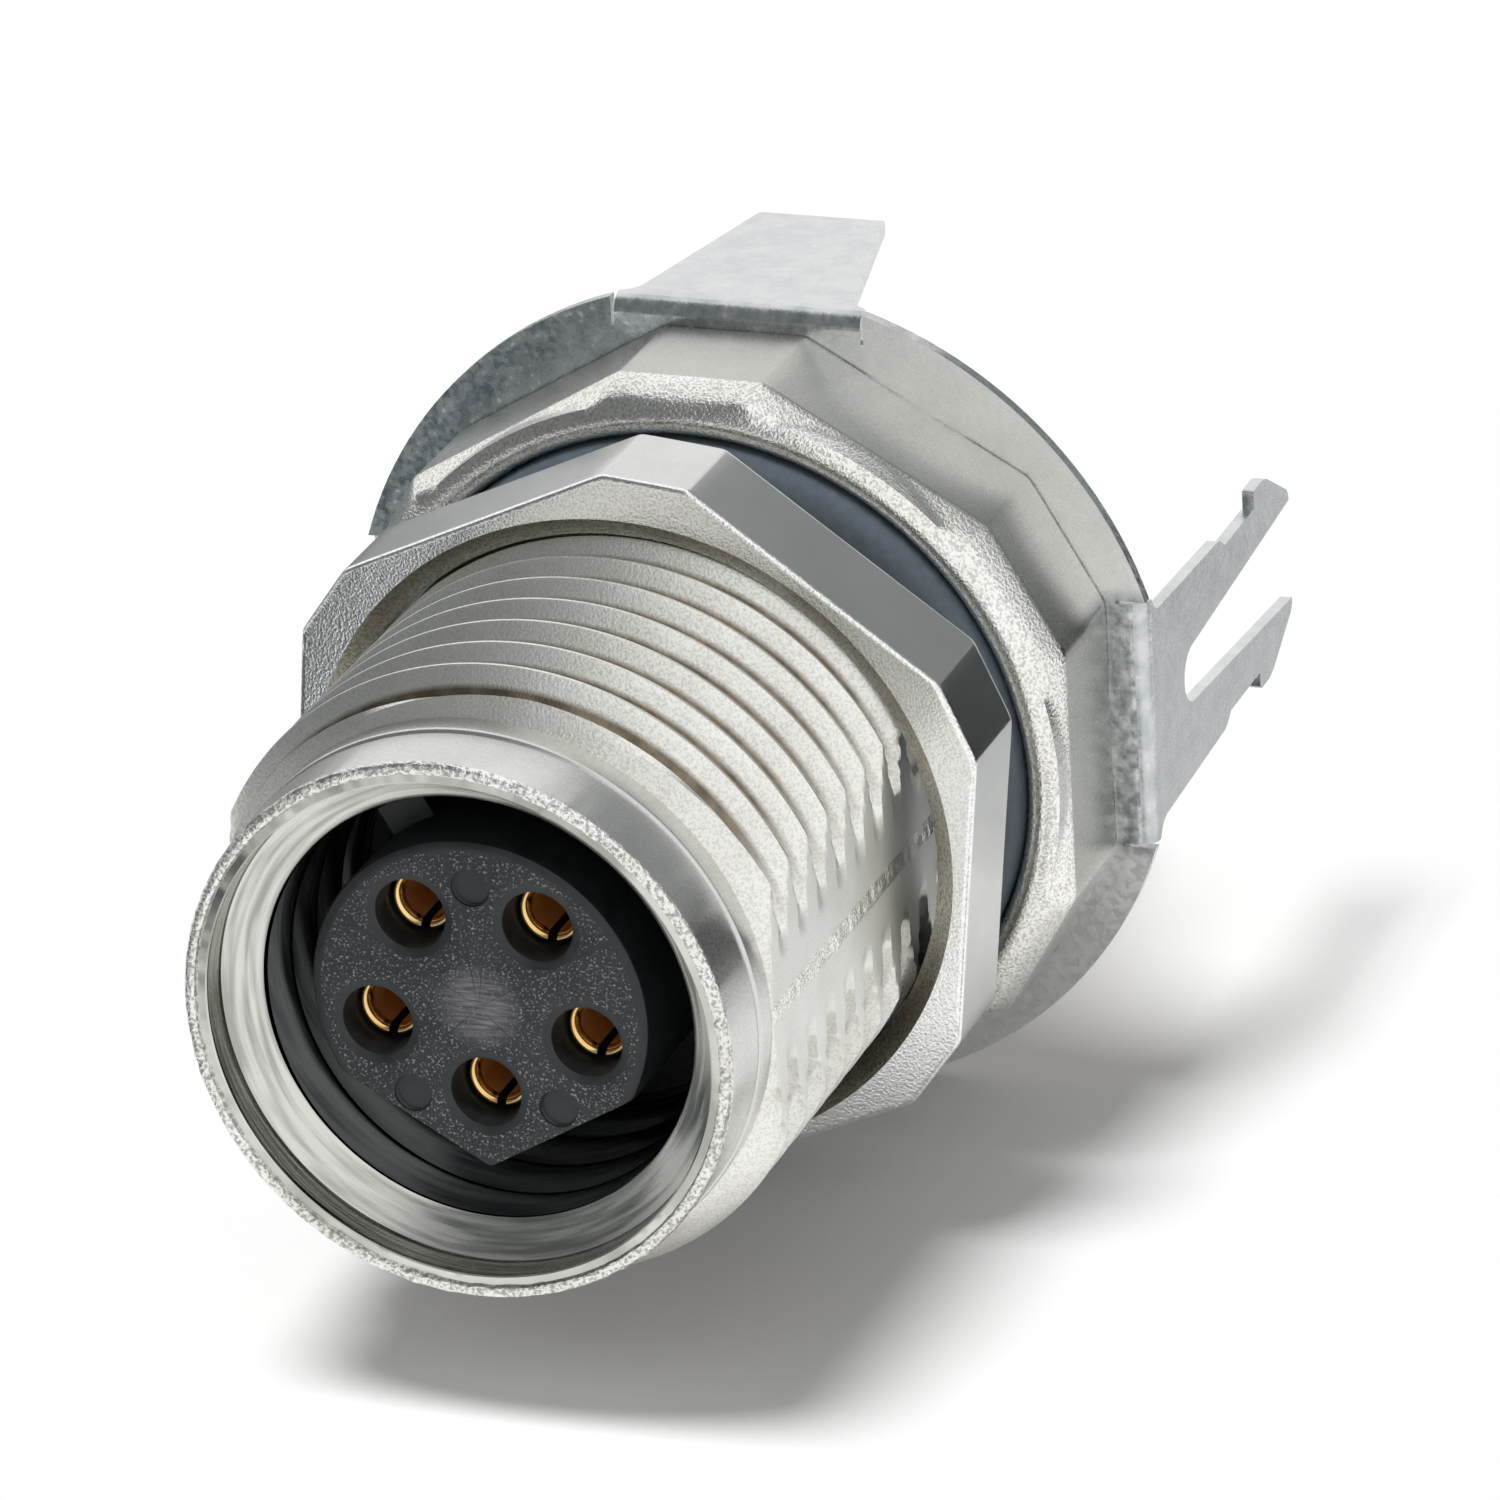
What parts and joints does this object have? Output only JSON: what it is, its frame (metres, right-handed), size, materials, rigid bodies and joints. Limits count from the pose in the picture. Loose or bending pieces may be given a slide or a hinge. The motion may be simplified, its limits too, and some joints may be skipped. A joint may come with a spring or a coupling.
{
  "type": "panel mount connector",
  "caption": "Round threaded sensor socket for a panel, with a hexagonal flange and nut, a rubber seal, gold contacts in a plastic carrier and a sheet plate with lugs for a circuit board.",
  "frame": {"origin": "centre of the panel seat, the front of the flange's bead on the connector's axis", "axes": "mouth towards -Y, circuit board behind at +Y, a plain lug up at +Z and a forked lug at +X"},
  "size_m": [0.0134, 0.0209, 0.0134],
  "materials": {
    "nickel_cast": "nickel-plated die-cast zinc, finely granular",
    "nickel_nut": "nickel-plated, smooth flats and granular faces",
    "tin_sheet": "tin-plated sheet, faintly mottled",
    "seal_rubber": "smooth blue-grey rubber",
    "ring_rubber": "smooth black rubber",
    "carrier_plastic": "charcoal plastic with a fine matt grain",
    "resin": "cast black resin",
    "gold_contact": "gold-plated, polished"
  },
  "bodies": {
    "connector": {"shell": "nickel_cast", "contact_carrier": "carrier_plastic", "carrier_seal": "ring_rubber", "sealing_compound": "resin", "contact_1": "gold_contact", "contact_2": "gold_contact", "contact_3": "gold_contact", "contact_4": "gold_contact", "contact_5": "gold_contact", "shield_plate": "tin_sheet", "flange_seal": "seal_rubber"},
    "nut": {"hex_nut": "nickel_nut"}
  },
  "joints": [
    {"name": "nut_travel", "type": "slide", "parent": "connector", "child": "nut", "axis": [0, -1, 0], "range_m": [-0.0008, 0.0052]}
  ]
}
